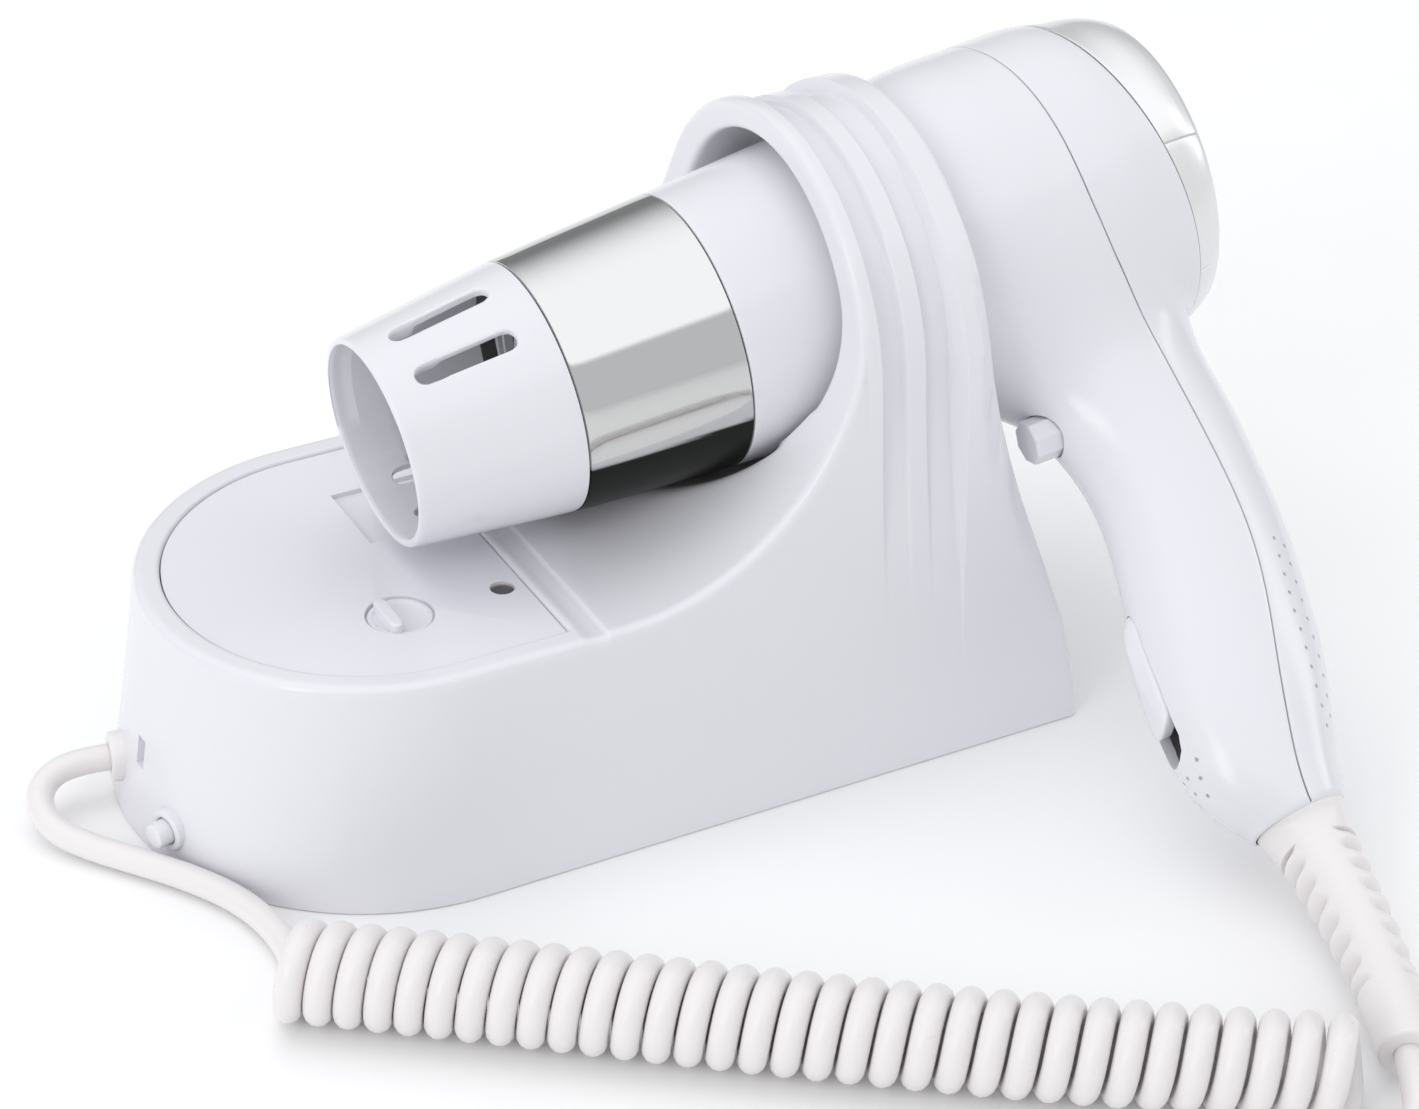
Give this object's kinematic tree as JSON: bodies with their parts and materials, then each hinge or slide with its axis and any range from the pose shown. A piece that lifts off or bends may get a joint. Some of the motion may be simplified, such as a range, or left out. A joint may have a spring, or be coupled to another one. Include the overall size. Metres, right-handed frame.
{
  "type": "hair dryer",
  "caption": "Wall-mounted hair dryer resting in a round-ended holder ring, with a shaver outlet, bright barrel band and curled cord.",
  "frame": {"origin": "middle of the four wall-screw holes, on the holder's wall face", "axes": "+Z out of the wall, +X along the holder from its round end towards the ring, -Y to the side where the handle hangs"},
  "size_m": [0.265, 0.2647, 0.1331],
  "materials": {
    "white_shell": "glossy cool white",
    "white_cover": "satin cool white",
    "bright_band": "polished",
    "silver_cap": "pearl silver lacquer",
    "white_cord": "smooth warm white",
    "white_relief": "satin warm white",
    "lamp_lens": "dark red lens",
    "grey_plastic": "moulded",
    "black_plastic": "moulded",
    "board": "glass-fibre board",
    "steel": "plated",
    "core_iron": "laminated",
    "winding": "enamelled copper",
    "brass": "bright",
    "mica": "mica board",
    "heating_wire": "oxidised",
    "filter_mesh": "fine mesh",
    "soft_rubber": "soft"
  },
  "bodies": {
    "holder": {"holder_shell": "white_shell", "wall_plate": "grey_plastic", "wall_plate_screws": "steel", "cover_plate": "white_cover", "socket_block": "black_plastic", "socket_contacts": "brass", "pilot_lamp": "lamp_lens", "control_board": "board", "selector_switch": "black_plastic", "transformer_core": "core_iron", "transformer_winding": "winding", "transformer_bracket": "steel", "transformer_screws": "steel", "terminal_block": "grey_plastic", "cord_gland": "white_relief", "gland_clamp": "grey_plastic", "button_switch": "black_plastic", "wall_lead": "white_cord", "curled_cord": "white_cord", "tip_lead": "white_cord"},
    "selector": {"selector_knob": "white_shell"},
    "main_button": {"main_button": "white_shell"},
    "dryer": {"nozzle_tube": "white_shell", "outlet_grille": "steel", "chrome_band": "bright_band", "front_housing": "white_shell", "rear_housing": "white_shell", "rear_cap": "silver_cap", "inlet_grille": "white_cover", "dust_filter": "filter_mesh", "handle_screws": "steel", "heater_sleeve": "mica", "heater_frame": "mica", "heating_coils": "heating_wire", "thermal_cutout": "steel", "motor_can": "steel", "motor_bushes": "brass", "motor_rubber": "soft_rubber", "motor_holder": "black_plastic", "micro_switch": "black_plastic", "switch_plate": "grey_plastic", "switch_case": "black_plastic", "handle_clamp": "grey_plastic", "strain_relief": "white_relief"},
    "fan": {"motor_shaft": "steel", "fan_rotor": "black_plastic"},
    "push_button": {"push_button": "white_shell"},
    "slide_switch": {"slide_switch": "white_shell"}
  },
  "joints": [
    {"name": "dryer_lift_out", "type": "slide", "parent": "holder", "child": "dryer", "axis": [0.9938, 0, 0.1109], "range_m": [0, 0.2]},
    {"name": "selector_turn", "type": "hinge", "parent": "holder", "child": "selector", "pos_m": [-0.0467, -0.0218, 0.0488], "axis": [0, 0, 1], "range_deg": [0, 90]},
    {"name": "main_button_press", "type": "slide", "parent": "holder", "child": "main_button", "axis": [0.9613, 0.2756, 0], "range_m": [0, 0.003], "stiffness_N_per_m": 400, "springref_m": -0.001},
    {"name": "push_button_press", "type": "slide", "parent": "dryer", "child": "push_button", "axis": [0.9938, 0, 0.1109], "range_m": [0, 0.0024], "stiffness_N_per_m": 400, "springref_m": -0.001},
    {"name": "slide_switch_travel", "type": "slide", "parent": "dryer", "child": "slide_switch", "axis": [-0.157, -0.8327, -0.531], "range_m": [0, 0.006]},
    {"name": "fan_spin", "type": "hinge", "parent": "dryer", "child": "fan", "pos_m": [0.10707, 0, 0.09349], "axis": [0.9938, 0, 0.1109], "continuous": true}
  ]
}
